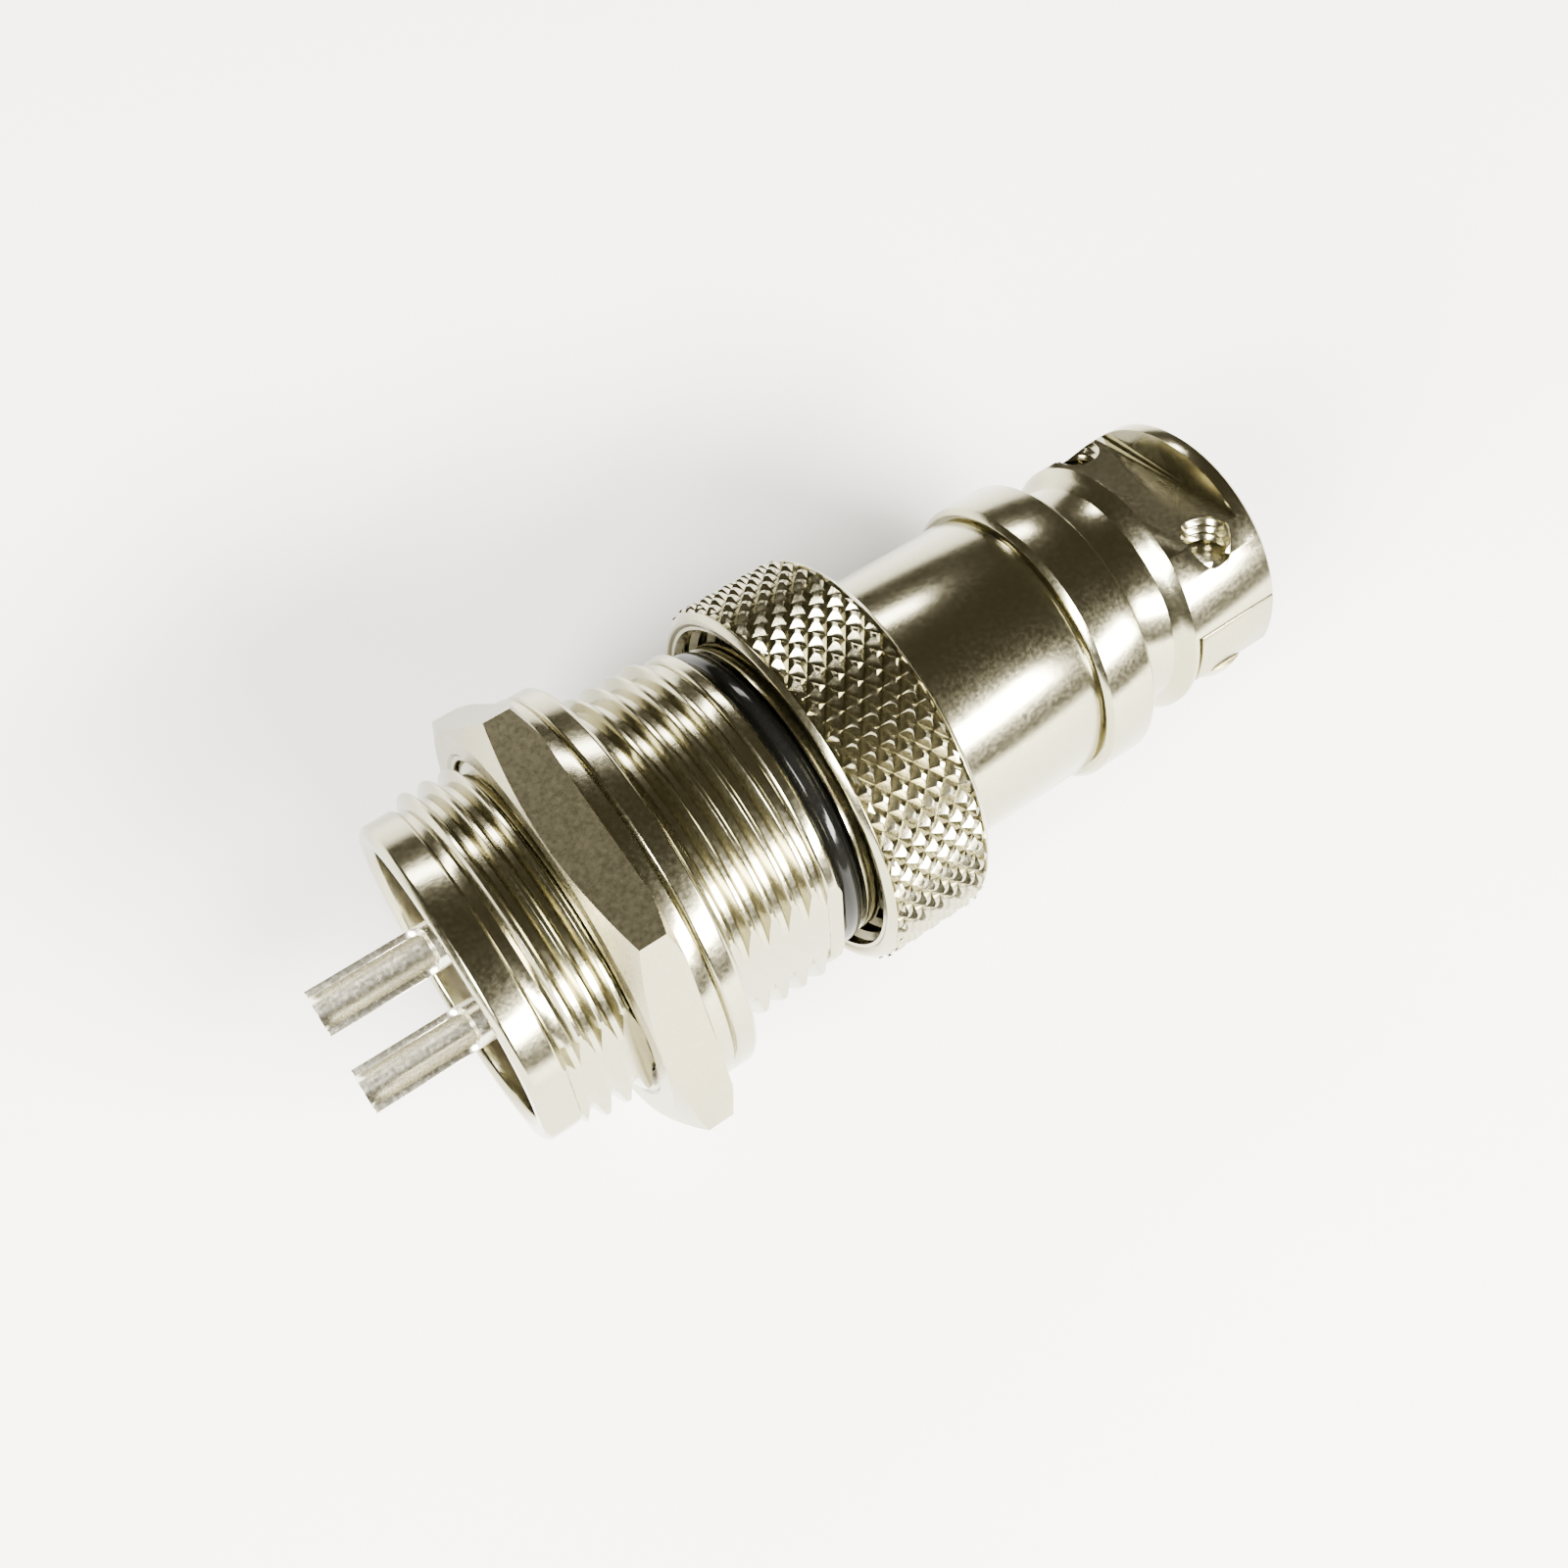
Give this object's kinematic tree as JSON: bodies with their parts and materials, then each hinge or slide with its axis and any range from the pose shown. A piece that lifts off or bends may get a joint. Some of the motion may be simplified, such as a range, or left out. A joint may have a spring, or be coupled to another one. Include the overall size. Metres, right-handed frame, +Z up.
{
  "type": "aviation plug connector",
  "caption": "Circular threaded connector pair: a panel receptacle with nut and washer, and a cable plug with knurled coupling ring, back shell and cable clamp.",
  "frame": {"origin": "on the connector's axis, at the rear face of the receptacle's panel flange, where the panel's outer face lies", "axes": "+X along the axis from the solder cups towards the cable clamp, +Z up as the connector lies on a flat of its nut"},
  "size_m": [0.0458, 0.022, 0.019],
  "materials": {
    "nickel_shell": "bright nickel plating",
    "nickel_hardware": "satin nickel plating",
    "screw": "bright nickel plating",
    "contact": "bright silver plating",
    "spring_steel": "plain spring steel",
    "insulator": "moulded dark phenolic",
    "seal": "glossy black rubber"
  },
  "bodies": {
    "receptacle": {"receptacle_shell": "nickel_shell", "receptacle_insert": "insulator", "receptacle_split_ring": "spring_steel", "upper_pin": "contact", "lower_pin": "contact"},
    "washer": {"panel_washer": "nickel_hardware"},
    "nut": {"panel_nut": "nickel_hardware"},
    "plug": {"plug_sleeve": "nickel_shell", "plug_insert": "insulator", "plug_split_ring": "spring_steel", "upper_socket": "contact", "lower_socket": "contact", "sealing_ring": "seal", "back_shell": "nickel_shell"},
    "ring_slider": {"coupling_snap_ring": "spring_steel"},
    "ring": {"coupling_ring": "nickel_shell"},
    "clamp": {"cable_clamp": "nickel_hardware"},
    "near_screw": {"near_clamp_screw": "screw"},
    "far_screw": {"far_clamp_screw": "screw"}
  },
  "joints": [
    {"name": "plug_pull", "type": "slide", "parent": "receptacle", "child": "plug", "axis": [1, 0, 0], "range_m": [0, 0.012]},
    {"name": "washer_slide", "type": "slide", "parent": "receptacle", "child": "washer", "axis": [-1, 0, 0], "range_m": [0, 0.0075]},
    {"name": "nut_turn", "type": "hinge", "parent": "washer", "child": "nut", "pos_m": [-0.002, 0, 0], "axis": [-1, 0, 0], "range_deg": [0, 2700]},
    {"name": "ring_slide", "type": "slide", "parent": "plug", "child": "ring_slider", "axis": [-1, 0, 0], "range_m": [0, 0.0037]},
    {"name": "ring_turn", "type": "hinge", "parent": "ring_slider", "child": "ring", "pos_m": [0.011, 0, 0], "axis": [-1, 0, 0], "range_deg": [0, 1332]},
    {"name": "clamp_slide", "type": "slide", "parent": "plug", "child": "clamp", "axis": [0, -0.4067, -0.9135], "range_m": [0, 0.0016]},
    {"name": "near_screw_turn", "type": "hinge", "parent": "clamp", "child": "near_screw", "pos_m": [0.0301, -0.00393, 0.00175], "axis": [0, -0.4067, -0.9135], "range_deg": [0, 1280]},
    {"name": "far_screw_turn", "type": "hinge", "parent": "clamp", "child": "far_screw", "pos_m": [0.0301, 0.00393, -0.00175], "axis": [0, -0.4067, -0.9135], "range_deg": [0, 1280]}
  ],
  "couplings": [
    {"joint": "nut_turn", "follows": "washer_slide", "rad_per_m": 6283.2},
    {"joint": "ring_turn", "follows": "ring_slide", "rad_per_m": 6283.2},
    {"joint": "near_screw_turn", "follows": "clamp_slide", "rad_per_m": 13963},
    {"joint": "far_screw_turn", "follows": "clamp_slide", "rad_per_m": 13963}
  ]
}
